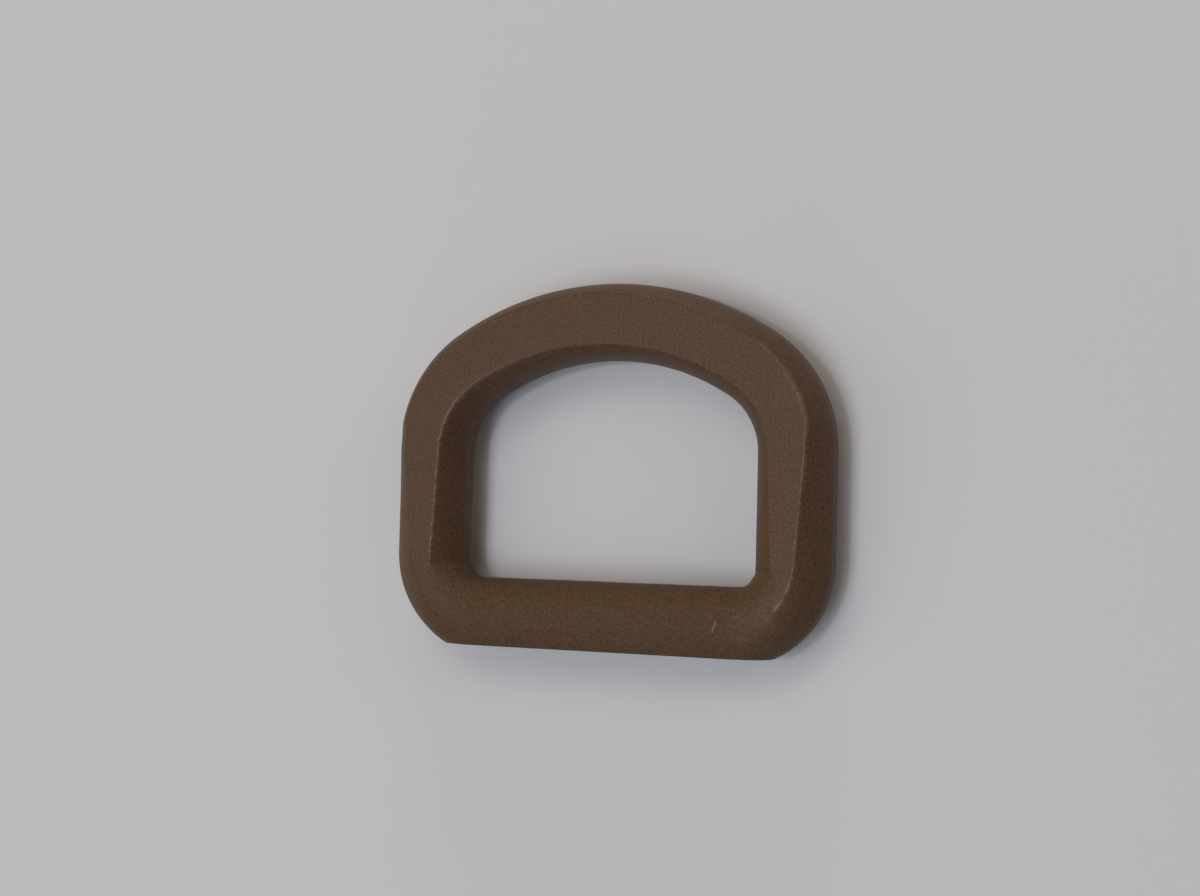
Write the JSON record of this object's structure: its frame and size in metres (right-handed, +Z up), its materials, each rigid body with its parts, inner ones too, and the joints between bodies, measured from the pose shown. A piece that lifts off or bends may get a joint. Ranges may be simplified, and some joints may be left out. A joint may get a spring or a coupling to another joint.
{
  "type": "plastic d ring for 25 mm webbing",
  "caption": "Moulded plastic D ring for 25 mm webbing: round bar for a sewn strap loop, bevelled arms and arch with flat faces.",
  "frame": {"origin": "on the surface that the ring lies on, under the middle of its outline", "axes": "+X along the bar, +Y from the bar to the top of the arch, +Z up through the thickness"},
  "size_m": [0.039, 0.0308, 0.0062],
  "materials": {
    "ring_plastic": "coyote brown acetal, matte with a fine moulded grain and slightly polished edges"
  },
  "bodies": {
    "root": {"ring": "ring_plastic"}
  },
  "joints": []
}
